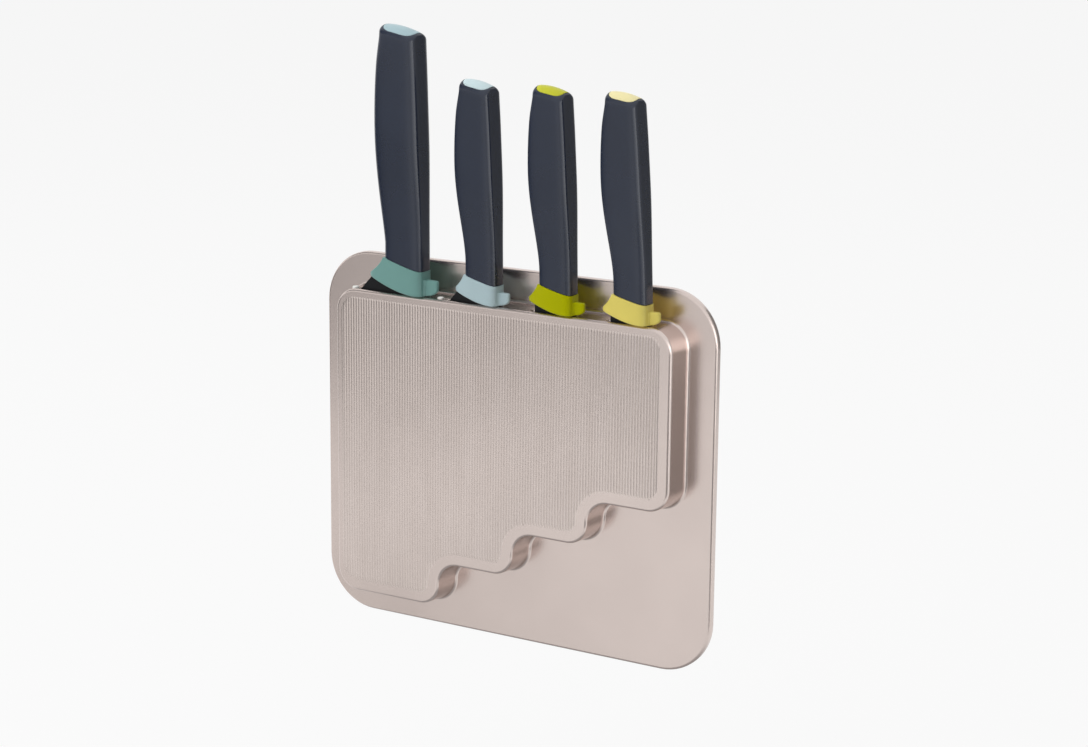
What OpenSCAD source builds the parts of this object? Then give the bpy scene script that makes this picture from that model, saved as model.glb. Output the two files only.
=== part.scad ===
// Slim wall-mounted knife holder: a rounded back plate carries a shallow stepped
// case, and four knives stand in slots in the top of the case.
// +Z is up, +X is to the right seen from the front, and the front faces -Y.
// The origin is the middle of the mounting face, on the back of the middle strip.

/* [Back plate] */
// Thickness of the back plate
plate_t = 4; // [3:0.5:6]
// Corner radius of the back plate
plate_r = 30; // [10:1:40]
// Plate showing to the left and right of the case
side_margin = 18; // [10:1:30]
// Plate showing above the case
top_margin = 18.5; // [10:0.5:30]
// Plate showing below the deepest column of the case
bottom_margin = 16; // [16:1:40]

/* [Case] */
// Depth of the case from the plate to its front face
case_d = 17; // [16:0.5:24]
// Thickness of the case's side, top and bottom walls
wall_t = 2; // [1.5:0.1:3]
// Thickness of the case's front wall
front_t = 1.8; // [1.2:0.1:2.6]
// Radius of the case's outer corners
case_r = 13; // [6:0.5:16]
// Largest radius of the curves in the stepped bottom edge
step_r = 12.7; // [4:0.1:12.7]
// Space from the left end of the case to the heel of the chef's knife
left_gap = 12.4; // [9:0.2:24]
// Space from the paring knife's handle to the right end of the case
right_gap = 15.5; // [12:0.5:30]
// Space from a blade's back to the step beside it
step_gap = 12.5; // [9:0.5:14]
// Space between each blade's tip and the floor of its column
tip_gap = 8.8; // [4:0.1:14]

/* [Slots] */
// Clearance between a blade and the long sides of its slot
slot_side = 0.8; // [0.5:0.1:1.2]
// Clearance between a blade's back and the right end of its slot
slot_back = 1.2; // [0.6:0.1:2]
// Clearance between a blade's edge and the left end of its slot
slot_edge = 2; // [1:0.1:3]
// Distance from the case's front face to the middle of the slots
slot_depth = 4; // [3.9:0.1:4.4]

/* [Spacing of the knives] */
// Distance from the chef's knife to the santoku knife
pitch_1 = 48.6; // [46:0.2:60]
// Distance from the santoku knife to the utility knife
pitch_2 = 47; // [42:0.2:60]
// Distance from the utility knife to the paring knife
pitch_3 = 45.5; // [42:0.5:60]
// Height of the tool rests above the top of the case
seat_gap = 0.4; // [0.3:0.1:1]

/* [Lean of the knives in their slots] */
// Lean of the santoku knife to the left, in degrees
santoku_lean = 0.5; // [0:0.1:1]
// Lean of the utility knife to the left, in degrees
utility_lean = 1; // [0:0.1:2]
// Lean of the paring knife to the left, in degrees
paring_lean = 2; // [0:0.1:2.5]

/* [Chef's knife blade] */
// Length of the chef's blade below its tool rest
chef_len = 165; // [150:1:200]
// Width of the chef's blade at the heel
chef_w = 44; // [38:1:47]
// Thickness of the chef's blade at its back
chef_t = 2; // [1.6:0.1:2.2]

/* [Santoku knife blade] */
// Length of the santoku blade below its tool rest
santoku_len = 139.6; // [130:0.2:145]
// Width of the santoku blade at the heel
santoku_w = 35; // [30:1:37]
// Thickness of the santoku blade at its back
santoku_t = 1.8; // [1.4:0.1:2.2]

/* [Utility knife blade] */
// Length of the utility blade below its tool rest
utility_len = 114.2; // [104:0.2:124]
// Width of the utility blade at the heel
utility_w = 24; // [21:0.5:27]
// Thickness of the utility blade at its back
utility_t = 1.8; // [1.4:0.1:2.2]

/* [Paring knife blade] */
// Length of the paring blade below its tool rest
paring_len = 88.8; // [78:0.2:98]
// Width of the paring blade at the heel
paring_w = 23; // [20:0.5:25]
// Thickness of the paring blade at its back
paring_t = 1.6; // [1.2:0.1:2]

/* [Large handle] */
// Height of the large handle's top above the foot of its tool rest
large_top_h = 142.4; // [132:0.2:150]
// Width of the large handle at its neck
large_neck_w = 23.8; // [22:0.2:26]
// Width of the large handle at its belly
large_belly_w = 29.4; // [27:0.2:32]
// Width of the large handle at its top
large_top_w = 26; // [24:0.2:28]
// Thickness of the large handle at its neck
large_neck_t = 13.5; // [12.5:0.1:15]
// Thickness of the large handle at its belly
large_belly_t = 17.5; // [16:0.1:19]

/* [Small handles] */
// Height of the small handles' tops above the foot of the tool rest
small_top_h = 117; // [110:1:126]
// Width of the small handles at the neck
small_neck_w = 19.8; // [19:0.2:21]
// Width of the small handles at the belly
small_belly_w = 25.5; // [24:0.1:27]
// Width of the small handles at the top
small_top_w = 22.2; // [21:0.2:23]
// Thickness of the small handles at the neck
small_neck_t = 12; // [11.6:0.1:13]
// Thickness of the small handles at the belly
small_belly_t = 15; // [14:0.1:16.5]
// Slope of the handles' two ends across their width
end_slope = 0.26; // [0.1:0.01:0.3]
// Drop of the back of a handle towards its top
back_drop = 3.6; // [2:0.1:5]

/* [Tool rests] */
// Height of the large tool rest at the back of the knife
large_rest_h = 13.6; // [12.4:0.2:16]
// Height of the small tool rests at the back of the knife
small_rest_h = 10.8; // [9.8:0.2:12.6]
// Reach of the large finger guard past the handle's neck
large_guard = 12; // [9:0.2:13]
// Reach of the small finger guards past the handle's neck
small_guard = 8; // [6:0.2:9]
// Reach of the large tool rest's foot past the back of the knife
large_foot = 6; // [4:0.2:7]
// Reach of the small tool rests' feet past the back of the knife
small_foot = 4.2; // [3:0.2:5]

/* [Handle insides] */
// Width of the large knife's tang
large_tang_w = 11; // [9:0.5:12]
// Width of the small knives' tangs
small_tang_w = 9; // [7:0.5:10]
// Diameter of the balance weights
weight_d = 9; // [7:0.5:9.5]
// Length of the large handle's balance weight
large_weight_l = 34; // [24:1:40]
// Length of the small handles' balance weights
small_weight_l = 26; // [18:1:32]
// Clearance round the pieces inside a handle
inner_fit = 0.15; // [0.1:0.05:0.3]

/* [Blade guide] */
// Thickness of the guide panel behind the blades
guide_t = 1.6; // [1.2:0.1:2.4]
// Clearance between a blade and the guide panel
guide_gap = 1.2; // [1:0.1:1.4]
// Thickness of the ribs that keep the blades apart
rib_t = 2; // [1.2:0.2:3]
// Diameter of the pegs that hold the panel off the plate
peg_d = 6; // [4:0.5:8]
// Clearance round the guide
guide_fit = 0.3; // [0.2:0.1:0.5]

/* [Fixings] */
// Diameter of the screw bosses in the case
boss_d = 7; // [6:0.5:8]
// Diameter of the screws' shanks
screw_d = 3; // [2.5:0.1:3.5]
// Diameter of the screws' heads
head_d = 6; // [5:0.5:7]
// Height of the screws' heads
head_h = 1.8; // [1.4:0.1:2.2]
// Width of the cross-shaped recess in the screws' heads
drive_w = 3; // [2:0.1:3.4]
// Clearance round the screws in the back plate
screw_fit = 0.2; // [0.1:0.05:0.4]
// Depth of the screws' heads below the back of the plate
screw_sink = 0.2; // [0.1:0.05:0.4]
// Length of the screws
screw_l = 12; // [9:0.5:14]
// Thickness of the adhesive strips
strip_t = 1; // [0.6:0.1:2]
// Length of the adhesive strips
strip_l = 170; // [120:5:180]
// Height of each adhesive strip
strip_h = 20; // [12:1:22]
// Corner radius of the adhesive strips
strip_r = 4; // [2:0.5:5]
// Distance from the plate's top and bottom edges to the outer strips
strip_in = 4; // [2:1:12]

/* [Hidden] */

$fn = 48;
eps = 0.01;      // overlap that makes a cut go right through

// Colours
metal = [0.76, 0.70, 0.66];
grip_dark = [0.22, 0.25, 0.29];
blade_dark = [0.12, 0.12, 0.13];
rest_colours = [[0.45, 0.62, 0.60], [0.66, 0.76, 0.77], [0.66, 0.68, 0.05],
  [0.84, 0.78, 0.42]];
cap_colours = [[0.58, 0.73, 0.75], [0.72, 0.82, 0.84], [0.70, 0.73, 0.15],
  [0.90, 0.88, 0.55]];

// Knives in the order chef's, santoku, utility, paring
CHEF = 0;
SANTOKU = 1;
UTILITY = 2;
PARING = 3;
last = PARING;
blade_len = [chef_len, santoku_len, utility_len, paring_len];
blade_w = [chef_w, santoku_w, utility_w, paring_w];
blade_t = [chef_t, santoku_t, utility_t, paring_t];
lean = [0, santoku_lean, utility_lean, paring_lean];
back_inset = 1;                    // blade's back inside the handle's back
heel_drop = [2, 4.7, 4, 4];        // heel's corner below the tool rest's foot
heel_slope = [1, 1, 8, 8];         // steepness of the edge above the heel
tip_off = [6, 27, 4, 4];           // tip's distance from the blade's back
edge_fill = [0.84, 0.96, 0.82, 0.8]; // how full the edge's curve is
back_bend = [0.66, 0.66, 0.6, 0.6];  // where the back starts to curve

// Handles: 1 where the knife has the large handle
is_large = [1, 0, 0, 0];
function pick(k, large, small) = is_large[k] == 1 ? large : small;
function top_h(k) = pick(k, large_top_h, small_top_h);
function neck_w(k) = pick(k, large_neck_w, small_neck_w);
function belly_w(k) = pick(k, large_belly_w, small_belly_w);
function top_w(k) = pick(k, large_top_w, small_top_w);
function neck_t(k) = pick(k, large_neck_t, small_neck_t);
function belly_t(k) = pick(k, large_belly_t, small_belly_t);
function rest_h(k) = pick(k, large_rest_h, small_rest_h);
function guard(k) = pick(k, large_guard, small_guard);
function foot(k) = pick(k, large_foot, small_foot);
function tang_w(k) = pick(k, large_tang_w, small_tang_w);
function weight_l(k) = pick(k, large_weight_l, small_weight_l);

// Layout across the width: the x of each handle's back where it meets the case
case_w = left_gap + chef_w + back_inset + pitch_1 + pitch_2 + pitch_3 + right_gap;
case_left = -case_w / 2;
case_right = case_w / 2;
chef_x = case_left + left_gap + chef_w + back_inset;
knife_x = [chef_x, chef_x + pitch_1, chef_x + pitch_1 + pitch_2,
  chef_x + pitch_1 + pitch_2 + pitch_3];

// Layout up the height: a column of the case ends below each blade's tip
column_h = [for (l = blade_len) l + tip_gap + wall_t - seat_gap];
plate_w = case_w + 2 * side_margin;
plate_h = top_margin + column_h[0] + bottom_margin;
case_top = plate_h / 2 - top_margin;
floor_z = [for (h = column_h) case_top - h];
seat_z = case_top + seat_gap;
column_x = [for (k = [0 : last]) k == last ? case_right
  : knife_x[k] - back_inset + step_gap];

// Layout through the depth
plate_back = -strip_t;
plate_front = plate_back - plate_t;
case_front_y = plate_front - case_d;
knife_y = case_front_y + slot_depth;
thickest = max(blade_t);
guide_front = knife_y + thickest / 2 + guide_gap;
guide_back = guide_front + guide_t;

// ---------------------------------------------------------------- helpers

function mix(a, b, t) = a + (b - a) * t;
function bezier(p, t) = pow(1 - t, 3) * p[0] + 3 * pow(1 - t, 2) * t * p[1]
  + 3 * (1 - t) * t * t * p[2] + t * t * t * p[3];
function bezier_line(p, n) = [for (i = [0 : n]) bezier(p, i / n)];

// Extrudes a drawing of X and Z along Y, from y0 to y1
module slab(y0, y1) {
  translate([0, y1, 0]) rotate([90, 0, 0]) linear_extrude(y1 - y0) children();
}

module rounded_box_2d(w, h, r) {
  square([w - 2 * r, h], center = true);
  square([w, h - 2 * r], center = true);
  for (sx = [-1, 1], sz = [-1, 1])
    translate([sx * (w / 2 - r), sz * (h / 2 - r)]) circle(r);
}

// Puts a piece drawn in a knife's own frame into its slot. In that frame x = 0
// is the back of the handle's neck, y = 0 the middle of the blade's thickness
// and z = 0 the foot of the tool rest.
module in_slot(k) {
  translate([knife_x[k], knife_y, seat_z]) rotate([0, -lean[k], 0]) children();
}

// ---------------------------------------------------------------- holder

// Radius of the curves at the right of column k
function curve_r(k) = k == last ? case_r
  : min(step_r, (floor_z[k + 1] - floor_z[k]) / 2);

// One column of the case, from its rounded bottom corners to the top
module column_2d(k, inset) {
  r = curve_r(k) - inset;
  left = case_left + inset;
  right = column_x[k] - inset;
  low = floor_z[k] + inset;
  corner = case_r - inset;
  translate([left + corner, low]) square([right - r - left - corner, corner]);
  translate([left, low + corner]) square([right - r - left, case_top - inset
    - low - corner]);
  translate([left + corner, low + corner]) circle(corner);
  translate([right - r, low + r]) square([r, case_top - inset - low - r]);
  translate([right - r, low + r]) circle(r);
}

// Outline of the stepped case, drawn in by inset all round
module case_2d(inset = 0) {
  top = case_top - inset;
  left = case_left + inset;
  right = case_right - inset;
  corner = case_r - inset;
  difference() {
    union() {
      for (k = [0 : last]) column_2d(k, inset);
      for (k = [0 : last - 1]) step_fillet_2d(k, inset);
    }
    translate([left, top - corner]) square(corner);
    translate([right - corner, top - corner]) square(corner);
  }
  for (x = [left + corner, right - corner])
    translate([x, top - corner]) circle(corner);
}

// Hollow curve where the right side of column k meets the next column's floor
module step_fillet_2d(k, inset) {
  r = curve_r(k) + inset;
  x = column_x[k] - inset;
  z = floor_z[k + 1] + inset;
  difference() {
    translate([x - eps, z - r]) square([r + eps, r + eps]);
    translate([x + r, z - r]) circle(r);
  }
}

// Where the screw bosses stand, as [x, z]: along the top, beside each column's
// right-hand curve, and in the lower left corner
boss_in = boss_d / 2 + wall_t + 2.5; // distance from the outline of the case
boss_rise = 4;                     // further rise above the columns' floors
gap_mid = [for (k = [0 : last - 1])
  (knife_x[k] + knife_x[k + 1] - 2 * back_inset - blade_w[k + 1]) / 2];
boss_top_z = case_top - boss_in - wall_t;
boss_at = concat(
  [[case_left + boss_d / 2 + 0.75 * wall_t, boss_top_z],
    [gap_mid[1], boss_top_z],
    [case_right - boss_in, boss_top_z]],
  [for (k = [0 : last]) [column_x[k] - boss_in + (k == last ? 0 : 1),
    floor_z[k] + boss_in + boss_rise]],
  [[case_left + boss_in, floor_z[0] + boss_in + wall_t]]);

// Where the pegs of the guide stand: below the top between the knives, under
// the boss in the middle, above the lowest step and near the left wall
peg_at = [[gap_mid[0], boss_top_z], [gap_mid[1], boss_top_z - 1.4 * boss_in],
  [gap_mid[2], boss_top_z], [gap_mid[0], floor_z[1] + boss_in],
  [case_left + boss_in, 0]];

strip_z = plate_h / 2 - strip_h / 2 - strip_in;

module back_plate() {
  color(metal) difference() {
    slab(plate_front, plate_back) rounded_box_2d(plate_w, plate_h, plate_r);
    for (p = boss_at) translate([p[0], plate_back, p[1]]) rotate([90, 0, 0]) {
      translate([0, 0, -eps])
        cylinder(d = screw_d + 2 * screw_fit, h = plate_t + 2 * eps);
      translate([0, 0, -eps]) cylinder(d1 = head_d + 2 * screw_fit,
        d2 = screw_d + 2 * screw_fit, h = head_h + screw_sink);
    }
  }
}

pilot_end = 0.5;                   // space past the end of a screw
module case_front() {
  color(metal) difference() {
    union() {
      difference() {
        slab(case_front_y, plate_front) case_2d();
        slab(case_front_y + front_t, plate_front + eps) case_2d(wall_t);
      }
      for (p = boss_at) translate([p[0], plate_front, p[1]]) rotate([90, 0, 0])
        cylinder(d = boss_d, h = case_d - front_t / 2);
    }
    for (p = boss_at) translate([p[0], plate_front + eps, p[1]])
      rotate([90, 0, 0]) cylinder(d = screw_d, h = screw_l - plate_t + pilot_end);
    for (k = [0 : last]) slot(k);
  }
}

// Width of the slot of knife k through the thickness of the case
function slot_w(k) = blade_t[k] + 2 * slot_side;
function slot_left(k) = knife_x[k] - back_inset - blade_w[k] - slot_edge;
function slot_right(k) = knife_x[k] - back_inset + slot_back;

// The cut runs below the top wall, through the rounded inside of the corners
module slot(k) {
  r = slot_w(k) / 2;
  translate([0, knife_y, case_top - 2 * wall_t]) linear_extrude(2 * wall_t + eps) {
    translate([slot_left(k) + r, -r]) square([slot_right(k) - slot_left(k) - 2 * r,
      2 * r]);
    for (x = [slot_left(k) + r, slot_right(k) - r]) translate([x, 0]) circle(r);
  }
}

module blade_guide() {
  rib_front = case_front_y + front_t + guide_fit;
  color([0.93, 0.93, 0.91]) {
    difference() {
      slab(guide_front, guide_back) case_2d(wall_t + guide_fit);
      for (p = boss_at) translate([p[0], guide_back + eps, p[1]])
        rotate([90, 0, 0]) cylinder(d = boss_d + 2 * guide_fit,
          h = guide_t + 2 * eps);
    }
    for (k = [0 : last - 1]) translate([gap_mid[k] - rib_t / 2, rib_front,
      floor_z[k + 1] + wall_t + guide_fit])
      cube([rib_t, guide_front - rib_front + eps,
        case_top - 3 * boss_in - floor_z[k + 1]]);
    for (p = peg_at) translate([p[0], guide_back - eps, p[1]])
      rotate([-90, 0, 0]) cylinder(d = peg_d,
        h = plate_front - guide_fit - guide_back + eps);
  }
}

shank_d = screw_d - 0.1;           // just inside the pilot bores of the bosses
drive_t = 0.8;                     // width of one bar of the cross recess
drive_deep = 1;                    // depth of the cross recess
module case_screws() {
  color([0.75, 0.75, 0.77])
    for (p = boss_at) translate([p[0], plate_back - screw_sink, p[1]])
      rotate([90, 0, 0]) difference() {
        union() {
          cylinder(d = shank_d, h = screw_l);
          cylinder(d1 = head_d, d2 = shank_d, h = head_h);
        }
        for (a = [0, 90]) rotate(a) translate([-drive_w / 2, -drive_t / 2, -eps])
          cube([drive_w, drive_t, drive_deep]);
      }
}

module strip(z) {
  color([0.88, 0.88, 0.86]) translate([0, 0, z]) slab(plate_back, 0)
    rounded_box_2d(strip_l, strip_h, strip_r);
}

module top_strip() { strip(strip_z); }
module middle_strip() { strip(0); }
module bottom_strip() { strip(-strip_z); }

// ---------------------------------------------------------------- knives

// Handles: where the neck, the belly and the nose lie along the handle
function neck_at(k) = 0.2 * top_h(k);
function belly_at(k) = 0.675 * top_h(k);
nose = 6;                          // height of the rounded end
nose_r = 4;                        // rounding of the end across its width
function smooth(t) = let (u = min(max(t, 0), 1)) u * u * (3 - 2 * u);

// Edge side of a handle at height h: neck, swelling belly, narrower top
function front_x(k, h) = let (
    rise = max(0, h - neck_at(k)) / (belly_at(k) - neck_at(k)),
    fall = (h - belly_at(k)) / (top_h(k) - belly_at(k)))
  h < belly_at(k)
    ? -mix(neck_w(k), belly_w(k), (1 - cos(180 * pow(rise, 0.75))) / 2)
    : -mix(belly_w(k), top_w(k), min(1.2, fall * fall));

// Back of a handle at height h: straight at the neck, then dropping
function back_x(k, h) = -back_drop
  * pow(max(0, h - neck_at(k)) / (top_h(k) - neck_at(k)), 1.4);

// Half the thickness of a handle at height h
function half_t(k, h) = mix(neck_t(k), belly_t(k),
  smooth((h - neck_at(k)) / (0.6 * top_h(k) - neck_at(k)))) / 2;

// Point of a rounded section with half sizes a and b, a number between an
// ellipse at fullness 2 and a rectangle at high fullness
function signed_pow(v, e) = sign(v) * pow(abs(v), e);
function rounded(a, b, angle, fullness) = [a * signed_pow(cos(angle), 2 / fullness),
  b * signed_pow(sin(angle), 2 / fullness)];
function section_2d(centre, a, b, n, fullness = 4.5) = [for (i = [0 : n - 1])
  let (p = rounded(a, b, 360 * (i + 0.5) / n, fullness)) [centre + p[0], p[1]]];

// One ring of a handle. Rings slope with the handle's ends: h is the height at
// the back of the neck. Inset shrinks the ring to round the end.
ring_n = 24;
function ring(k, h, inset_x = 0, inset_y = 0) = let (
    back = back_x(k, h) - inset_x,
    front = front_x(k, h - end_slope * front_x(k, h)) + inset_x)
  [for (p = section_2d((back + front) / 2, (back - front) / 2,
      half_t(k, h) - inset_y, ring_n)) [p[0], p[1], h - end_slope * p[0]]];

// Heights of the plain rings, then the rings of the rounded end
plain_n = 14;
nose_angles = [18, 36, 54, 72];
function handle_rings(k) = let (low = rest_h(k), high = top_h(k) - nose) concat(
  [for (i = [0 : plain_n]) ring(k, mix(low, high, i / plain_n))],
  [for (a = nose_angles) ring(k, high + nose * sin(a), nose_r * (1 - cos(a)),
    half_t(k, high) * (1 - cos(a)))]);

// Solid through rings that all have n points
module loft(rings, n) {
  points = [for (r = rings) each r];
  m = len(rings);
  sides = [for (i = [0 : m - 2], j = [0 : n - 1]) let (a = i * n + j,
      b = i * n + (j + 1) % n) each [[a, a + n, b], [b, a + n, b + n]]];
  polyhedron(points, concat([[for (j = [0 : n - 1]) j]], sides,
    [[for (j = [n - 1 : -1 : 0]) (m - 1) * n + j]]));
}

// Places of the tang, the balance weight and the end cap inside a handle
function tang_x(k) = -neck_w(k) / 2;
cap_t = 4.5;                       // thickness of the end caps at the back
plug_l = 4;                        // length of the end caps' plugs
tang_gap = 3;                      // space between the tang and the weight
function cap_low(k) = top_h(k) - cap_t;
function weight_top(k) = cap_low(k) - plug_l - inner_fit;
function weight_low(k) = weight_top(k) - weight_l(k);
function weight_x(k) = let (h = (weight_top(k) + weight_low(k)) / 2)
  (front_x(k, h) + back_x(k, h)) / 2;
function tang_top(k) = weight_low(k) - tang_gap;

// Spigot of the tool rest that fits up into the handle
spigot_wall = 2.5;                 // handle wall left round the spigot
spigot_l = 4;                      // length of the spigot inside the handle
function spigot_top(k) = rest_h(k) + end_slope * neck_w(k) + spigot_l;
module spigot(k, low, grow = 0) {
  translate([tang_x(k), 0, low]) linear_extrude(spigot_top(k) + grow - low)
    square([neck_w(k) - 2 * spigot_wall + 2 * grow,
      neck_t(k) - 2 * spigot_wall + 2 * grow], center = true);
}

// Outline of a blade and its tang
module blade_2d(k) {
  w = blade_w[k];
  l = blade_len[k];
  back = -back_inset;
  edge = back - w;
  tip = [back - tip_off[k], -l];
  edge_line = bezier_line([[edge, -heel_drop[k]], [edge, -0.5 * l],
    [back - w * edge_fill[k], -0.86 * l], tip], 14);
  back_line = bezier_line([tip, [back - tip_off[k] * 0.35, -0.93 * l],
    [back, -0.8 * l], [back, -back_bend[k] * l]], 8);
  // The blade's top edge stands inside the tool rest
  guard_end = guard_x(k) + 1.5;
  shoulder_x = max(edge + 0.5, guard_end);
  shoulder_h = foot_line(k, shoulder_x) + 1;
  polygon(concat(edge_line, [for (i = [1 : len(back_line) - 1]) back_line[i]],
    [[back, 0.3 * rest_h(k)], [shoulder_x, shoulder_h]]));
  translate([tang_x(k) - tang_w(k) / 2, 0]) square([tang_w(k), tang_top(k)]);
}

// Tool rest: its guard's tip, and the line of its underside
function guard_x(k) = -neck_w(k) - guard(k);
function guard_h(k) = 0.71 * rest_h(k);
function under_points(k) = [[guard_x(k) + 0.8, guard_h(k) - 1.8],
  [guard_x(k) * 0.66, 0.5 * guard_h(k)], [guard_x(k) * 0.36, 0],
  [-0.1 * neck_w(k), 0]];
function foot_line(k, x) = let (p = under_points(k))
  x > p[3][0] ? 0 : p[0][1] * (x - p[3][0]) / (p[0][0] - p[3][0]);

// Side view of a tool rest: guard, sloping top, ledge and foot
module rest_2d(k) {
  h = rest_h(k);
  tip = [guard_x(k), guard_h(k)];
  heel_top = [-neck_w(k), h + end_slope * neck_w(k)];
  polygon(concat(
    bezier_line(under_points(k), 8),
    bezier_line([[-0.1 * neck_w(k), 0], [0.5 * foot(k), 0],
      [foot(k), 0.1 * h], [foot(k), 0.36 * h]], 6),
    [[foot(k), 0.58 * h], [foot(k) - 0.3, 0.63 * h], [foot(k) - 1, 0.655 * h],
      [0, 0.675 * h], [0, h], heel_top],
    [[tip[0] + 1, tip[1] + 1.8], [tip[0] + 0.2, tip[1] + 0.8],
      [tip[0], tip[1] - 0.4]]));
}

// Plan of a tool rest below the handle: tapered guard to the left, foot to the
// right
module rest_plan_2d(k) {
  mid = -neck_w(k) / 2;
  b = neck_t(k) / 2;
  n = 32;
  polygon([for (i = [0 : n - 1]) let (a = 360 * (i + 0.5) / n,
      right = cos(a) > 0,
      p = rounded(right ? foot(k) - mid : mid - guard_x(k), b, a,
        right ? 5 : 2.2)) [mid + p[0], p[1]]]);
}

module tool_rest(k) {
  fit_t = blade_t[k] + 2 * inner_fit;
  color(rest_colours[k]) in_slot(k) difference() {
    union() {
      intersection() {
        slab(-neck_t(k), neck_t(k)) rest_2d(k);
        linear_extrude(2 * rest_h(k)) union() {
          rest_plan_2d(k);
          polygon(section_2d(-neck_w(k) / 2, neck_w(k) / 2, neck_t(k) / 2, ring_n));
        }
      }
      spigot(k, rest_h(k) / 2);
    }
    slab(-fit_t / 2, fit_t / 2) blade_2d(k);
  }
}

module blade(k) {
  t = blade_t[k];
  low = -blade_len[k] - 1;
  edge_t = 0.3;                    // thickness left at the cutting edge
  edge = -back_inset - blade_w[k];
  bevel_x = mix(edge, 0, 0.6);     // where the grind starts
  color(blade_dark) in_slot(k) intersection() {
    slab(-t / 2, t / 2) blade_2d(k);
    translate([0, 0, low]) linear_extrude(tang_top(k) + 1 - low)
      polygon([[edge - 1, -edge_t / 2], [bevel_x, -t / 2], [1, -t / 2],
        [1, t / 2], [bevel_x, t / 2], [edge - 1, edge_t / 2]]);
  }
}

// Outline of an end cap seen from above, inside the handle's rim
cap_rim_x = 1.6;
cap_rim_y = 1.3;
module cap_2d(k, grow = 0) {
  h = top_h(k) - nose;
  back = back_x(k, h);
  front = front_x(k, h - end_slope * front_x(k, h));
  polygon(section_2d((back + front) / 2, (back - front) / 2 - cap_rim_x + grow,
    half_t(k, h) - cap_rim_y + grow, ring_n, 2.6));
}

module handle(k) {
  tang_fit = 2 * inner_fit;
  color(grip_dark) in_slot(k) difference() {
    loft(handle_rings(k), ring_n);
    spigot(k, 0, inner_fit);
    translate([tang_x(k) - (tang_w(k) + tang_fit) / 2,
      -(blade_t[k] + tang_fit) / 2, 0])
      cube([tang_w(k) + tang_fit, blade_t[k] + tang_fit,
        tang_top(k) + inner_fit]);
    translate([weight_x(k), 0, weight_low(k) - inner_fit])
      cylinder(d = weight_d + tang_fit, h = cap_low(k) - weight_low(k) + 1);
    translate([0, 0, cap_low(k) - inner_fit]) linear_extrude(3 * nose)
      cap_2d(k, inner_fit);
  }
}

module weight(k) {
  color([0.6, 0.6, 0.62]) in_slot(k) translate([weight_x(k), 0, weight_low(k)])
    cylinder(d = weight_d, h = weight_l(k));
}

module end_cap(k) {
  color(cap_colours[k]) in_slot(k) {
    intersection() {
      loft(handle_rings(k), ring_n);
      translate([0, 0, cap_low(k)]) linear_extrude(2 * nose) cap_2d(k);
    }
    translate([weight_x(k), 0, cap_low(k) - plug_l])
      cylinder(d = weight_d, h = plug_l + 1);
  }
}

module chef_blade() { blade(CHEF); }
module chef_tool_rest() { tool_rest(CHEF); }
module chef_handle() { handle(CHEF); }
module chef_weight() { weight(CHEF); }
module chef_end_cap() { end_cap(CHEF); }
module santoku_blade() { blade(SANTOKU); }
module santoku_tool_rest() { tool_rest(SANTOKU); }
module santoku_handle() { handle(SANTOKU); }
module santoku_weight() { weight(SANTOKU); }
module santoku_end_cap() { end_cap(SANTOKU); }
module utility_blade() { blade(UTILITY); }
module utility_tool_rest() { tool_rest(UTILITY); }
module utility_handle() { handle(UTILITY); }
module utility_weight() { weight(UTILITY); }
module utility_end_cap() { end_cap(UTILITY); }
module paring_blade() { blade(PARING); }
module paring_tool_rest() { tool_rest(PARING); }
module paring_handle() { handle(PARING); }
module paring_weight() { weight(PARING); }
module paring_end_cap() { end_cap(PARING); }

back_plate();
case_front();
blade_guide();
case_screws();
top_strip();
middle_strip();
bottom_strip();
chef_blade();
chef_tool_rest();
chef_handle();
chef_weight();
chef_end_cap();
santoku_blade();
santoku_tool_rest();
santoku_handle();
santoku_weight();
santoku_end_cap();
utility_blade();
utility_tool_rest();
utility_handle();
utility_weight();
utility_end_cap();
paring_blade();
paring_tool_rest();
paring_handle();
paring_weight();
paring_end_cap();
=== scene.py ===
"""Slim wall-mounted knife holder with four knives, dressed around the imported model.

The object's sizes are in millimetres and follow the named values of the CAD source.
Meshes are scaled to metres when they are made, and the studio is in metres.
+Z is up, +X is right, the front faces -Y.
"""
import math

import bmesh
import bpy
import numpy as np
from mathutils import Matrix, Vector


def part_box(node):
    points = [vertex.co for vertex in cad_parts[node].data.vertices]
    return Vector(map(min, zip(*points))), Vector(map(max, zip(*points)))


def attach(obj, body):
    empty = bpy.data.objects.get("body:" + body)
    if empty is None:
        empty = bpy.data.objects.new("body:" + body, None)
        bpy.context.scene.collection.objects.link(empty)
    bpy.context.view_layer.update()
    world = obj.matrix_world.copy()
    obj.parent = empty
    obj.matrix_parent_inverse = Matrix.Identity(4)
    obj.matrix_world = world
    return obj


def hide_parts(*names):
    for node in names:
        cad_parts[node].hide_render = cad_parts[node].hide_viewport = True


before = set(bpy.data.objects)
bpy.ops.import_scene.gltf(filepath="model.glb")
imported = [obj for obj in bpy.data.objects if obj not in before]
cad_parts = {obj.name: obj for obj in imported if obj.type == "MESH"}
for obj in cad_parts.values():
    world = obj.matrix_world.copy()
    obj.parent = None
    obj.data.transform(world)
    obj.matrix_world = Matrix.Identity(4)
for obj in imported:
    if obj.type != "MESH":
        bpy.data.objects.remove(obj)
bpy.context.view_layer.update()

MM = 0.001

# Camera, in degrees, and in millimetres for its target and distance
FRONT_VIEW = (31.42, 12.81, 0.61)       # azimuth, elevation and roll
VIEW_TARGET = (17.26, -1.0, 48.43)
VIEW_DISTANCE = 1354.0
LENS = 82.28

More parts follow.
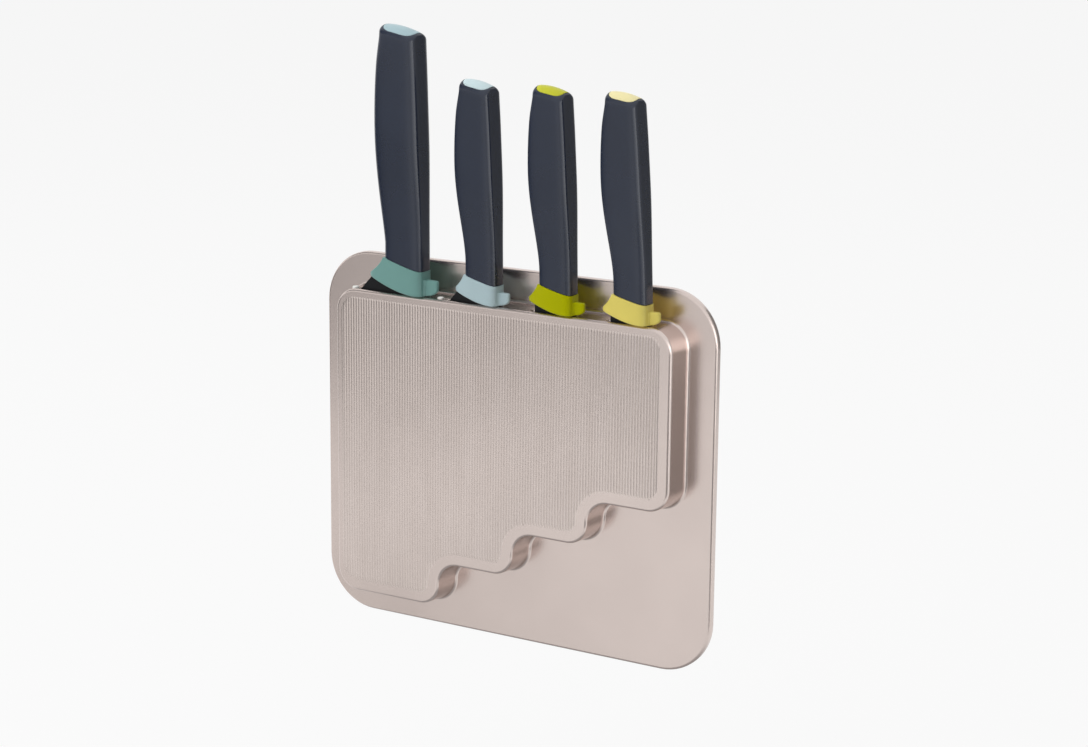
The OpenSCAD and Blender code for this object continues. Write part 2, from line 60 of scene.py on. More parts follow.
# ------------------------------------------------------------------ sizes
# Back plate
PLATE_T = 4.0
PLATE_R = 30.0          # its corners
PLATE_FRONT_R = 1.5     # rounding of its front edge
PLATE_BACK_R = 0.5      # rounding of its back edge
BOSSES = [(-102, 76.45), (9.5, 76.45), (99, 76.45), (-45.1, -76.95), (3.5, -51.55),
          (50.5, -26.15), (99, -0.75), (-99, -78.95)]     # x and z of the screws
SHANK_R = 1.7           # holes for the screws, and their countersinks
HEAD_R = 3.2
HEAD_H = 2.0

# Case
CASE_R = 13.0           # its outer corners
STEP_R = 12.7           # the curves of its stepped edge
WALL_T = 2.0
FRONT_T = 1.8
SIDE_DRAFT = 0.8        # how far the walls spread from the front to the plate
TOP_DRAFT = 0.2
BASE_R = 1.6            # hollow curve between the walls and the plate
EDGE_R = 1.8            # rounding of the front edge
FLOORS = [-88.95, -63.55, -38.15, -12.75]       # undersides of its four columns
LAST = 3                                        # the column at the right
CORNER_N = 14           # steps of the plate's and the case's corners

# Slots
SLOT_DEPTH = 4.0        # from the case's front to the middle of the slots
SLOT_SIDE = 0.8         # clearances round a blade
SLOT_BACK = 1.2
SLOT_EDGE = 2.0
SEAT_GAP = 0.4          # from the case's top to the tool rests
BACK_INSET = 1.0        # from the back of a handle to the back of its blade
LINER_T = 0.4
LINER_GAP = 0.04
LINER_DEPTH = 2.4
LINER_SINK = 0.7        # from the case's top down to the liners
STUD_LEFT = 2.2         # reach of the guide's studs to both sides of a slot's left end
STUD_RIGHT = 1.5
STUD_SLOTS = "chef", "santoku"

# Beading on the case's front
BEAD_X = 1.73           # pitch across and up
BEAD_Z = 1.2
BEAD_H = 0.33
BEAD_STEPS = 6, 2       # mesh cells of one bead, across and up
BEAD_VALLEY = 0.6       # height between two beads of one rib, as a share
BORDER = 5.9            # smooth border right of the beads and below them
BORDER_TOP = 3.5
BORDER_LEFT = 3.0
FADE_FROM = 0.5         # the beads rise over this distance inside the border
FADE = 1.6
SUNK = 0.02             # how far the faded beads sink into the case
SKIRT = 0.3             # depth of the beading's hidden sides

# Adhesive strips
STRIP_R = 4.0
FILM_T = 0.16           # thickness of the release liner

# Handles and end caps
END_SLOPE = 0.26        # of the joint with the tool rest and of the end, up to the front
BACK_DROP = 3.6         # how far the back curves forward at the end
END_CROWN = 4.2         # fall of the handle's end across its thickness
END_DOME = 1.3          # and along its width
END_TILT = 0.19         # more slope of the end alone
END_RIM = 1.2           # rounding between the end and the sides
RIM_FROM = 0.87         # where that rounding starts, as a share of the section
CAP_FULL = 3.1          # squareness of the end cap's outline
CAP_GAP = 0.14
CAP_WELL = 0.9          # depth of the rim's inside
RING_N = 72             # points of a ring of the handle or its cap
HANDLE_N = 44           # rings along the handle

# Tool rests
REST_PROUD = 0.3        # beyond the handle's neck
FLAT_SIDE = 0.45        # share of the thickness that ends in the foot's step
TAIL_FULL = 4.0         # squareness and width of the foot in plan
TAIL_WIDE = 0.3
THINNEST = 0.12         # half thickness where the rest tapers out

# Blades
FINE_T = 0.28           # thickness behind the bevel
CUT_T = 0.04            # thickness of the cutting edge
BEVEL_W = 1.3
GRIND = 0.6             # share of the width that is ground


def mm_box(node):
    lo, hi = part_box(node)
    return lo / MM, hi / MM


plate_lo, plate_hi = mm_box("back_plate")
case_lo, case_hi = mm_box("case_front")
PLATE_BACK, PLATE_FRONT = plate_hi.y, plate_lo.y
CASE_FRONT, CASE_TOP = case_lo.y, case_hi.z
CASE_LEFT, CASE_RIGHT = case_lo.x, case_hi.x
COLUMNS = [-38.1, 10.5, 57.5, CASE_RIGHT]       # right ends of the four columns


class Knife:
    """Sizes of one knife. In its own frame x = 0 is the handle's back, z = 0 the rest's foot."""

    def __init__(self, name, large, x, lean, blade, heel, tip_off, fill, bend):
        self.name = name
        self.x = x
        self.lean = math.radians(lean)
        self.length, self.width, self.thick = blade
        self.heel = heel
        self.tip_off, self.fill, self.bend = tip_off, fill, bend
        self.large = large
        # Handle: height, widths, thicknesses, squareness, and where its neck and belly are
        self.top_h = 142.4 if large else 117.0
        self.neck_w, self.belly_w, self.top_w = (
            (24.5, 30.4, 27.3) if large else (19.8, 25.7, 22.8))
        self.neck_t, self.belly_t = (13.5, 17.42) if large else (12.0, 15.0)
        self.neck_full, self.belly_full = (4.4, 4.8) if large else (4.4, 6.0)
        self.neck_at = 0.2 * self.top_h
        self.belly_at = 0.675 * self.top_h
        # Tool rest: height, reach of the finger guard and of the foot, and the guard's tip
        self.rest_h = 13.6 if large else 10.8
        self.guard = 12.0 if large else 8.0
        self.foot = 8.2 if large else 6.3
        self.guard_x = -self.neck_w - self.guard
        self.guard_h = 0.71 * self.rest_h

    def place(self):
        """The knife's own frame in the row frame, in millimetres."""
        return (Matrix.Translation((self.x, CASE_FRONT + SLOT_DEPTH, CASE_TOP + SEAT_GAP))
                @ Matrix.Rotation(-self.lean, 4, "Y"))


# name, large, x, lean in degrees, blade (length, width, thickness), heel, curves of the tip
KNIVES = [
    Knife("chef", True, -48.75, 0.0, (165.0, 44.0, 2.0), 2.0, 6.0, 0.84, 0.66),
    Knife("santoku", False, -0.7, 0.5, (139.6, 35.0, 1.8), 4.7, 27.0, 0.96, 0.66),
    Knife("utility", False, 46.3, 1.0, (114.2, 24.0, 1.8), 4.0, 4.0, 0.82, 0.6),
    Knife("paring", False, 92.0, 2.0, (88.8, 23.0, 1.6), 4.0, 4.0, 0.8, 0.6),
]


# ------------------------------------------------------------------ helpers
def mix(a, b, t):
    return a + (b - a) * t


def smooth(t):
    u = min(max(t, 0.0), 1.0)
    return u * u * (3 - 2 * u)


def bezier(controls, t):
    weights = (1 - t) ** 3, 3 * (1 - t) ** 2 * t, 3 * (1 - t) * t * t, t ** 3
    return tuple(sum(w * p[i] for w, p in zip(weights, controls))
                 for i in range(len(controls[0])))


def bezier_line(controls, n):
    return [bezier(controls, i / n) for i in range(n + 1)]


def line_at(points, x):
    """Height at x on a line of (x, z) points whose x rises."""
    if x <= points[0][0]:
        return points[0][1]
    for (xa, za), (xb, zb) in zip(points, points[1:]):
        if x <= xb:
            return mix(za, zb, (x - xa) / max(xb - xa, 1e-9))
    return points[-1][1]


def arc(cx, cz, r, a0, a1, n):
    """n + 1 points from angle a0 to a1, in degrees."""
    angles = [math.radians(mix(a0, a1, i / n)) for i in range(n + 1)]
    return [(cx + r * math.cos(a), cz + r * math.sin(a)) for a in angles]


def quarter(n):
    """n + 1 angles from 0 to 90 degrees, in radians."""
    return [math.radians(90 * i / n) for i in range(n + 1)]


def math_node(tree, operation, a, b):
    node = tree.nodes.new("ShaderNodeMath")
    node.operation = operation
    for socket, value in zip(node.inputs, (a, b)):
        if hasattr(value, "is_output"):
            tree.links.new(value, socket)
        else:
            socket.default_value = value
    return node.outputs[0]


def new_object(name, mesh, body, replaces=(), material=None):
    obj = bpy.data.objects.new(name, mesh)
    bpy.context.scene.collection.objects.link(obj)
    if material:
        mesh.materials.append(material)
    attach(obj, body)
    if replaces:
        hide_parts(*replaces)
    return obj


def to_mesh(name, verts, faces, place=None, material_of=None):
    """Mesh in metres from points in millimetres."""
    to_metres = Matrix.Scale(MM, 4) @ (place or Matrix.Identity(4))
    mesh = bpy.data.meshes.new(name)
    mesh.from_pydata([to_metres @ Vector(v) for v in verts], [], faces)
    if material_of:
        for p in mesh.polygons:
            p.material_index = material_of[p.index]
    mesh.validate()
    bm = bmesh.new()
    bm.from_mesh(mesh)
    bmesh.ops.recalc_face_normals(bm, faces=bm.faces)
    bm.to_mesh(mesh)
    bm.free()
    return mesh


def loft(rings, cap_start=True, cap_end=True):
    """Points and faces through rings that all have the same number of points."""
    n = len(rings[0])
    verts = [p for ring in rings for p in ring]
    faces = []
    for i in range(len(rings) - 1):
        for j in range(n):
            a, b = i * n + j, i * n + (j + 1) % n
            faces.append((a, b, b + n, a + n))
    if cap_start:
        faces.append(tuple(range(n - 1, -1, -1)))
    if cap_end:
        base = (len(rings) - 1) * n
        faces.append(tuple(base + j for j in range(n)))
    return verts, faces


def finish_shading(obj, angle=32.0, weighted=True):
    """Smooth shading, with sharp edges over an angle in degrees and flat faces kept flat."""
    mesh = obj.data
    for p in mesh.polygons:
        p.use_smooth = True
    mesh.set_sharp_from_angle(angle=math.radians(angle))
    if weighted:
        mod = obj.modifiers.new("weighted_normal", "WEIGHTED_NORMAL")
        mod.keep_sharp = True
        mod.weight = 80


def add_lofted(name, rings, body, replaces, material, angle=32.0, place=None):
    """A closed piece through rings."""
    mesh = to_mesh(name, *loft(rings), place)
    finish_shading(new_object(name, mesh, body, replaces, material), angle)


def cut(obj, cutters):
    """Cuts closed meshes out of a piece, and deletes them."""
    for tool in cutters:
        mod = obj.modifiers.new("cut", "BOOLEAN")
        mod.operation = "DIFFERENCE"
        mod.solver = "EXACT"
        mod.object = tool
    graph = bpy.context.evaluated_depsgraph_get()
    mesh = bpy.data.meshes.new_from_object(obj.evaluated_get(graph))
    obj.modifiers.clear()
    obj.data = mesh
    for tool in cutters:
        bpy.data.objects.remove(tool)


def cutter(verts, faces):
    """A closed mesh that cut() takes out of a piece."""
    obj = bpy.data.objects.new("cutter", to_mesh("cutter", verts, faces))
    bpy.context.scene.collection.objects.link(obj)
    bpy.context.view_layer.update()
    return obj


# ------------------------------------------------------------------ materials
class Nodes:
    """One node material, with short calls for the nodes that are used here."""

    def __init__(self, name):
        self.mat = bpy.data.materials.new(name)
        self.mat.use_nodes = True
        self.tree = self.mat.node_tree
        self.shader = self.tree.nodes["Principled BSDF"]
        self.coord = self.add("ShaderNodeTexCoord").outputs["Object"]

    def add(self, kind, **sets):
        """A node with its properties or inputs set."""
        node = self.tree.nodes.new(kind)
        for key, value in sets.items():
            if hasattr(node, key):
                setattr(node, key, value)
            else:
                node.inputs[key.replace("_", " ")].default_value = value
        return node

    def link(self, a, b):
        self.tree.links.new(a, b)

    def noise(self, scale, detail, rough, stretch=None):
        node = self.add("ShaderNodeTexNoise")
        node.inputs["Scale"].default_value = scale
        node.inputs["Detail"].default_value = detail
        node.inputs["Roughness"].default_value = rough
        source = self.coord
        if stretch:
            mapping = self.add("ShaderNodeMapping")
            mapping.inputs["Scale"].default_value = stretch
            self.link(source, mapping.inputs["Vector"])
            source = mapping.outputs["Vector"]
        self.link(source, node.inputs["Vector"])
        return node.outputs["Fac"]

    def ramp(self, fac, stops):
        node = self.add("ShaderNodeValToRGB")
        ramp = node.color_ramp
        while len(ramp.elements) < len(stops):
            ramp.elements.new(0.5)
        for element, (position, colour) in zip(ramp.elements, stops):
            element.position = position
            element.color = (*colour, 1)
        self.link(fac, node.inputs["Fac"])
        return node.outputs["Color"]

    def span(self, fac, lo, hi):
        """Maps 0..1 to lo..hi."""
        node = self.add("ShaderNodeMapRange")
        node.inputs["To Min"].default_value = lo
        node.inputs["To Max"].default_value = hi
        self.link(fac, node.inputs["Value"])
        return node.outputs["Result"]

    def bump(self, fac, height_mm):
        node = self.add("ShaderNodeBump")
        node.inputs["Distance"].default_value = height_mm * MM
        self.link(fac, node.inputs["Height"])
        return node.outputs["Normal"]

    def set(self, **values):
        """Sets the shader's own inputs, to nodes' outputs or to plain values."""
        for key, value in values.items():
            socket = self.shader.inputs[key.replace("_", " ")]
            if hasattr(value, "is_output"):
                self.link(value, socket)
            else:
                socket.default_value = value


def srgb(r, g, b):
    """Linear colour of an sRGB colour given in 0..255."""
    out = []
    for v in (r, g, b):
        v /= 255
        out.append(v / 12.92 if v <= 0.04045 else ((v + 0.055) / 1.055) ** 2.4)
    return tuple(out)


def shade(colour, factor):
    return tuple(min(1.0, c * factor) for c in colour)


METALLIC = 0.95    # the rest is plain paint, which takes shadows


def metallic_paint(name, colour, rough):
    n = Nodes(name)
    cloud = n.noise(18, 4, 0.55)
    flake = n.noise(5200, 2, 0.6)
    n.set(Base_Color=n.ramp(cloud, [(0.3, shade(colour, 0.965)), (0.7, shade(colour, 1.03))]),
          Roughness=n.span(flake, rough - 0.035, rough + 0.035),
          Normal=n.bump(flake, 0.004))
    n.set(Metallic=METALLIC)
    return n.mat


def beaded_metal(name, colour, rough):
    """The same metal, rougher in the grooves between the beads, with painted shade in those
    grooves and in the gaps between the beads of a rib.
    """
    n = Nodes(name)
    split = n.add("ShaderNodeSeparateXYZ")
    n.link(n.coord, split.inputs[0])

    def phase(axis, pitch):
        """0 in the grooves beside a bead, 1 on its crest."""
        pitches = math_node(n.tree, "MULTIPLY", split.outputs[axis], 1 / (pitch * MM))
        folded = math_node(n.tree, "PINGPONG", pitches, 0.5)
        return math_node(n.tree, "MULTIPLY", folded, 2.0)

    across, along = phase("X", BEAD_X), phase("Z", BEAD_Z)
    cloud = n.noise(18, 4, 0.55)
    worn = n.noise(140, 3, 0.6, stretch=(1, 1, 0.12))
    base = n.ramp(cloud, [(0.3, shade(colour, 0.95)), (0.7, shade(colour, 1.03))])
    # painted shade: darker in the grooves between ribs and in the gaps between beads; the wear
    # tint is a random streaky tone
    groove_shade = n.ramp(across, [(0.05, (0.95, 0.945, 0.94)), (0.4, (1.0, 1.0, 1.0))])
    gap_shade = n.ramp(along, [(0.0, (0.95, 0.95, 0.95)), (0.4, (1.0, 1.0, 1.0))])
    wear = n.ramp(worn, [(0.35, (0.96, 0.955, 0.95)), (0.65, (1.0, 1.0, 1.0))])
    relief = n.add("ShaderNodeAttribute", attribute_name="relief").outputs["Fac"]
    # the painted shade and the wear tint are multiplied in only as far as the beads rise
    for tint in (groove_shade, gap_shade, wear):
        blend = n.add("ShaderNodeMix", data_type="RGBA", blend_type="MULTIPLY")
        n.link(relief, blend.inputs[0])
        n.link(base, blend.inputs[6])
        n.link(tint, blend.inputs[7])
        base = blend.outputs[2]
    flake = n.noise(5200, 2, 0.6)
    n.set(Base_Color=base, Roughness=n.span(across, rough + 0.14, rough - 0.06),
          Normal=n.bump(flake, 0.004))
    n.set(Metallic=METALLIC)
    return n.mat


def soft_touch(name, colour):
    n = Nodes(name)
    cloud = n.noise(30, 4, 0.6)
    grain = n.noise(3600, 3, 0.6)
    n.set(Base_Color=n.ramp(cloud, [(0.3, shade(colour, 0.92)), (0.72, shade(colour, 1.08))]),
          Roughness=n.span(cloud, 0.25, 0.3),
          Normal=n.bump(grain, 0.008))
    n.set(Specular_IOR_Level=0.64)
    return n.mat


def satin_plastic(name, colour, tint=(1, 1, 1)):
    n = Nodes(name)
    cloud = n.noise(42, 4, 0.6)
    grain = n.noise(2600, 3, 0.6)
    n.set(Base_Color=n.ramp(cloud, [(0.3, shade(colour, 0.955)), (0.72, shade(colour, 1.045))]),
          Roughness=n.span(grain, 0.27, 0.35),
          Normal=n.bump(grain, 0.006))
    n.set(Specular_IOR_Level=0.28, Specular_Tint=(*tint, 1))
    return n.mat


def coated_steel(name):
    n = Nodes(name)
    speck = n.noise(1500, 2, 0.7)
    cloud = n.noise(60, 4, 0.6)
    n.set(Base_Color=n.ramp(speck, [(0.62, srgb(15, 16, 19)), (0.74, srgb(28, 29, 32))]),
          Roughness=n.span(cloud, 0.36, 0.46),
          Normal=n.bump(n.noise(2400, 2, 0.5), 0.006))
    n.set(Specular_IOR_Level=0.25)
    return n.mat


def ground_steel(name):
    n = Nodes(name)
    lines = n.noise(900, 2, 0.5, stretch=(1, 1, 8))
    n.set(Base_Color=n.ramp(lines, [(0.3, srgb(186, 187, 190)), (0.7, srgb(216, 217, 220))]),
          Roughness=n.span(lines, 0.22, 0.36),
          Normal=n.bump(lines, 0.004))
    n.set(Metallic=1.0)
    return n.mat


def moulded_white(name, colour):
    n = Nodes(name)
    cloud = n.noise(40, 3, 0.5)
    n.set(Base_Color=n.ramp(cloud, [(0.3, shade(colour, 0.96)), (0.7, colour)]),
          Roughness=n.span(cloud, 0.42, 0.52),
          Normal=n.bump(n.noise(1800, 3, 0.6), 0.008))
    return n.mat


def foam(name):
    n = Nodes(name)
    cells = n.add("ShaderNodeTexVoronoi")
    cells.inputs["Scale"].default_value = 2300
    n.link(n.coord, cells.inputs["Vector"])
    dist = cells.outputs["Distance"]
    n.set(Base_Color=n.ramp(dist, [(0.0, srgb(196, 196, 190)), (0.6, srgb(226, 226, 221))]),
          Roughness=n.span(dist, 0.8, 0.95),
          Normal=n.bump(dist, 0.08))
    return n.mat


def liner_film(name):
    n = Nodes(name)
    cloud = n.noise(26, 4, 0.6)
    n.set(Base_Color=n.ramp(cloud, [(0.3, srgb(206, 214, 214)), (0.7, srgb(222, 228, 227))]),
          Roughness=n.span(cloud, 0.24, 0.4),
          Normal=n.bump(cloud, 0.12))
    return n.mat


METAL = metallic_paint("metal_satin", srgb(218, 204, 198), 0.25)
BEADED = beaded_metal("metal_beaded", srgb(220, 207, 201), 0.24)
GRIP = soft_touch("grip_soft_touch", srgb(20, 31, 52))
BLADE = coated_steel("blade_coating")
EDGE = ground_steel("blade_edge")
WHITE = moulded_white("guide_plastic", srgb(238, 238, 234))
FOAM = foam("adhesive_foam")
LINER = liner_film("release_liner")
SCREW = ground_steel("screw_zinc")
REST_MAT = {
    "chef": satin_plastic("rest_teal", srgb(115, 159, 153)),
    "santoku": satin_plastic("rest_aqua", srgb(178, 200, 205)),
    "utility": satin_plastic("rest_lime", srgb(177, 179, 2), tint=(1, 1, 0.1)),
    "paring": satin_plastic("rest_yellow", srgb(230, 213, 106)),
}
CAP_MAT = {
    "chef": satin_plastic("cap_teal", srgb(169, 195, 202)),
    "santoku": satin_plastic("cap_aqua", srgb(203, 223, 227)),
    "utility": satin_plastic("cap_lime", srgb(200, 201, 34)),
    "paring": satin_plastic("cap_yellow", srgb(243, 232, 174)),
}


# ------------------------------------------------------------------ holder
def rounded_rect(x, z, r, inset, n, middle=0.0):
    """Outline of a rounded rectangle with half sizes x and z, clockwise."""
    pts = []
    for sx, sz, a in ((1, 1, 90), (1, -1, 0), (-1, -1, -90), (-1, 1, -180)):
        pts += arc(sx * (x - r), middle + sz * (z - r), r - inset, a, a - 90, n)
    return pts


def plate_outline(inset):
    return rounded_rect(plate_hi.x, plate_hi.z, PLATE_R, inset, CORNER_N)


def curve_r(k):
    """Radius of a column's lower right corner, and of the hollow corner above it."""
    return CASE_R if k == LAST else min(STEP_R, (FLOORS[k + 1] - FLOORS[k]) / 2)


def case_outline(inset, inset_top=None, inset_left=None):
    """Stepped outline of the case, clockwise from the left side's top.

    inset_top and inset_left stand in for inset at those two sides.
    """
    up = inset if inset_top is None else inset_top
    aside = inset if inset_left is None else inset_left
    left, right, top = CASE_LEFT + aside, CASE_RIGHT - inset, CASE_TOP - up
    r, r_left = CASE_R - inset, CASE_R - aside
    pts = arc(left + r_left, top - r_left, r_left, 180, 90, CORNER_N)
    pts += arc(right - r, top - r, r, 90, 0, CORNER_N)
    for k in range(LAST, -1, -1):
        side = COLUMNS[k] - inset
        if k < LAST:
            r = curve_r(k) + inset
            pts += arc(side + r, FLOORS[k + 1] + inset - r, r, 90, 180, CORNER_N)
        r = curve_r(k) - inset
        pts += arc(side - r, FLOORS[k] + inset + r, r, 0, -90, CORNER_N)
    pts += arc(left + r_left, FLOORS[0] + inset + r_left, r_left, -90, -180, CORNER_N)
    return pts


def ring_at(outline, y):
    """An outline's points at a depth."""
    return [(x, y, z) for x, z in outline]


def fillet_steps(r, n):
    """(inset, drop) pairs of a quarter round of radius r, from side to face."""
    return [(r * (1 - math.cos(a)), r * math.sin(a)) for a in quarter(n)]


def make_plate():
    rings = [ring_at(plate_outline(inset), PLATE_BACK - PLATE_BACK_R + drop)
             for inset, drop in reversed(fillet_steps(PLATE_BACK_R, 3))]
    rings += [ring_at(plate_outline(inset), PLATE_FRONT + PLATE_FRONT_R - drop)
              for inset, drop in fillet_steps(PLATE_FRONT_R, 6)]
    mesh = to_mesh("plate", *loft(rings))
    obj = new_object("plate", mesh, "holder", ["back_plate"], METAL)
    holes = []
    for x, z in BOSSES:
        profile = [(HEAD_R + 0.5, 1.0), (HEAD_R + 0.3, 0.15), (HEAD_R, -0.1),
                   (SHANK_R, -HEAD_H), (SHANK_R, -PLATE_T - 1)]
        rings = [[(x + r * math.cos(t), PLATE_BACK + y, z + r * math.sin(t))
                  for t in (2 * math.pi * i / 32 for i in range(32))] for r, y in profile]
        holes.append(cutter(*loft(rings)))
    cut(obj, holes)
    finish_shading(obj)


def slot_span(k):
    """Left end, right end and radius of a knife's slot."""
    r = k.thick / 2 + SLOT_SIDE
    return k.x - BACK_INSET - k.width - SLOT_EDGE, k.x - BACK_INSET + SLOT_BACK, r


def stadium(x0, x1, r):
    """Outline with round ends from x0 to x1."""
    return arc(x1 - r, 0, r, -90, 90, 12) + arc(x0 + r, 0, r, 90, 270, 12)


def slot_ring(x0, x1, r, z):
    """A slot-shaped ring in line with the slots, at a height over the case's top."""
    return [(x, CASE_FRONT + SLOT_DEPTH + y, CASE_TOP + z) for x, y in stadium(x0, x1, r)]


def make_case():
    rings = []
    # Hollow curve from the plate up into the walls
    for a in quarter(6):
        out = BASE_R * (1 - math.sin(a))
        y = PLATE_FRONT - BASE_R * (1 - math.cos(a))
        rings.append(ring_at(case_outline(-SIDE_DRAFT - out, -TOP_DRAFT - out), y))
    # Drafted walls, then the rounded front edge
    for t in (0.25, 0.5, 0.75):
        y = mix(PLATE_FRONT - BASE_R, CASE_FRONT + EDGE_R, t)
        rings.append(ring_at(case_outline(-SIDE_DRAFT * (1 - t), -TOP_DRAFT * (1 - t)), y))
    for inset, drop in fillet_steps(EDGE_R, 6):
        rings.append(ring_at(case_outline(inset), CASE_FRONT + EDGE_R - drop))
    n = len(rings[0])
    verts, faces = loft(rings, cap_start=False)
    # Inside of the shell, joined to the outside by a flat rim on the plate
    base = len(verts)
    inner_verts, inner_faces = loft([ring_at(case_outline(WALL_T), CASE_FRONT + FRONT_T),
                                     ring_at(case_outline(WALL_T), PLATE_FRONT)], cap_end=False)
    verts += inner_verts
    faces += [tuple(base + i for i in f) for f in inner_faces]
    rim = base + n
    for a in range(n):
        b = (a + 1) % n
        faces.append((a, b, rim + b, rim + a))
    obj = new_object("case", to_mesh("case", verts, faces), "holder",
                     ["case_front"], METAL)
    cutters = []
    for k in KNIVES:
        x0, x1, r = slot_span(k)
        rings = [slot_ring(x0 - g, x1 + g, r + g, z)
                 for g, z in ((0.6, 1.0), (0.3, 0.25), (0.0, -0.3), (0.0, -2 * WALL_T))]
        cutters.append(cutter(*loft(rings)))
    cut(obj, cutters)
    finish_shading(obj)


def inside(poly, x, z):
    """Whether each of many points is inside a closed outline."""
    hit = np.zeros(x.shape, bool)
    for (xa, za), (xb, zb) in zip(poly, poly[1:] + poly[:1]):
        if za != zb:
            hit ^= ((za > z) != (zb > z)) & (x < (xb - xa) * (z - za) / (zb - za) + xa)
    return hit


def edge_distance(poly, x, z):
    """Distance of many points from a closed outline."""
    best = np.full(x.shape, 1e9)
    for (xa, za), (xb, zb) in zip(poly, poly[1:] + poly[:1]):
        dx, dz = xb - xa, zb - za
        span = dx * dx + dz * dz
        if span < 1e-12:
            continue
        t = np.clip(((x - xa) * dx + (z - za) * dz) / span, 0, 1)
        best = np.minimum(best, np.hypot(x - xa - t * dx, z - za - t * dz))
    return best


def make_beading():
    """Rows of small beads on the case's front, inside a smooth border."""
    poly = case_outline(BORDER, BORDER_TOP, BORDER_LEFT)
    nx = int((CASE_RIGHT - CASE_LEFT) / BEAD_X)
    nz = int((CASE_TOP - FLOORS[0]) / BEAD_Z)
    x0 = -(nx // 2) * BEAD_X
    z0 = math.floor((CASE_TOP - BORDER_TOP - nz * BEAD_Z) / BEAD_Z) * BEAD_Z
    sx, sz = BEAD_STEPS
    cell_i, cell_j = np.meshgrid(np.arange(nx), np.arange(nz), indexing="ij")
    kept = inside(poly, x0 + (cell_i + 0.5) * BEAD_X, z0 + (cell_j + 0.5) * BEAD_Z)
    used = np.zeros((nx * sx + 1, nz * sz + 1), bool)
    quads = []
    for i, j in zip(cell_i[kept], cell_j[kept]):
        for a in range(sx):
            for b in range(sz):
                gi, gj = i * sx + a, j * sz + b
                quads.append((gi, gj))
                used[gi:gi + 2, gj:gj + 2] = True
    number = np.cumsum(used.ravel()).reshape(used.shape) - 1
    gi, gj = np.nonzero(used)
    x, z = x0 + gi * BEAD_X / sx, z0 + gj * BEAD_Z / sz
    across = 2 * (gi % sx) / sx - 1
    rib = np.sqrt(1 - across * across)
    bead = np.where(gj % sz == 1, 1.0, BEAD_VALLEY)
    depth = np.where(inside(poly, x, z), edge_distance(poly, x, z), 0.0)
    fade = np.clip((depth - FADE_FROM) / FADE, 0, 1)
    fade = fade * fade * (3 - 2 * fade)
    height = (BEAD_H * rib * bead + SUNK) * fade - SUNK
    verts = [(px, CASE_FRONT - h, pz) for px, h, pz in zip(x, height, z)]
    faces = [(number[i, j], number[i + 1, j], number[i + 1, j + 1], number[i, j + 1])
             for i, j in quads]
    mesh = to_mesh("case_beading", verts, faces)
    mesh.attributes.new("relief", "FLOAT", "POINT").data.foreach_set("value", fade)
    # Hidden sides and back, which close the mesh inside the case
    bm = bmesh.new()
    bm.from_mesh(mesh)
    rim = [e for e in bm.edges if e.is_boundary]
    for v in bmesh.ops.extrude_edge_only(bm, edges=rim)["geom"]:
        if isinstance(v, bmesh.types.BMVert):
            v.co.y += SKIRT * MM
    bmesh.ops.holes_fill(bm, edges=[e for e in bm.edges if e.is_boundary], sides=0)
    bmesh.ops.recalc_face_normals(bm, faces=bm.faces)
    # The extrusion makes its faces in no fixed order, so they are all put in one
    bm.verts.index_update()
    ordered = sorted(bm.faces, key=lambda face: sorted(v.index for v in face.verts))
    for i, face in enumerate(ordered):
        face.index = i
    bm.faces.sort()
    bm.to_mesh(mesh)
    bm.free()
    obj = new_object("case_beading", mesh, "holder", (), BEADED)
    finish_shading(obj, 80, weighted=False)


def make_slot_liners():
    soft = 0.12         # rounding of a liner's upper edges
    levels = [(LINER_T, -LINER_DEPTH), (LINER_GAP, -LINER_DEPTH),
              (LINER_GAP, -LINER_SINK - soft), (LINER_GAP + soft, -LINER_SINK),
              (LINER_T - soft, -LINER_SINK), (LINER_T, -LINER_SINK - soft)]
    stud_levels = [(0.0, -1.2), (0.0, 0.45), (0.12, 0.7), (0.4, 0.88), (0.85, 0.95)]
    for k in KNIVES:
        x0, x1, r = slot_span(k)
        rings = [slot_ring(x0 + g, x1 - g, r - g, z) for g, z in levels]
        verts, faces = loft(rings + [rings[0]], cap_start=False, cap_end=False)
        wrap = len(rings) * len(rings[0])       # the last ring is the first one again
        faces = [tuple(i % wrap for i in f) for f in faces]
        mesh = to_mesh(k.name + "_slot_liner", verts[:wrap], faces)
        obj = new_object(k.name + "_slot_liner", mesh, "holder", (), WHITE)
        finish_shading(obj, 50, weighted=False)
        if k.name in STUD_SLOTS:
            rings = [slot_ring(x0 - STUD_LEFT + g, x0 + STUD_RIGHT - g, r - g, z)
                     for g, z in stud_levels]
            add_lofted(k.name + "_slot_end", rings, "holder", (), WHITE, 50)


def make_strips():
    for name in ("top_strip", "middle_strip", "bottom_strip"):
        lo, hi = mm_box(name)
        film = hi.y - FILM_T

        def ring(inset, y):
            return ring_at(rounded_rect((hi.x - lo.x) / 2, (hi.z - lo.z) / 2, STRIP_R, inset,
                                        8, (lo.z + hi.z) / 2), y)

        rings = [ring(0.25, lo.y), ring(0.18, lo.y + 0.2), ring(0.28, (lo.y + hi.y) / 2),
                 ring(0.25, film)]
        add_lofted(name + "_foam", rings, "holder", [name], FOAM)
        rings = [ring(0.05, film), ring(0.0, film + 0.04), ring(0.0, hi.y - 0.04),
                 ring(0.05, hi.y)]
        add_lofted(name + "_liner", rings, "holder", (), LINER)


# ------------------------------------------------------------------ knives
def front_x(k, h):
    """The handle's front: from the neck out to the belly, then in to the end."""
    if h < k.belly_at:
        rise = max(0.0, h - k.neck_at) / (k.belly_at - k.neck_at)
        swell = rise ** (0.6 if k.large else 0.75)
        return -mix(k.neck_w, k.belly_w, (1 - math.cos(math.pi * swell)) / 2)
    fall = (h - k.belly_at) / (k.top_h - k.belly_at)
    return -mix(k.belly_w, k.top_w, min(1.2, fall * fall))


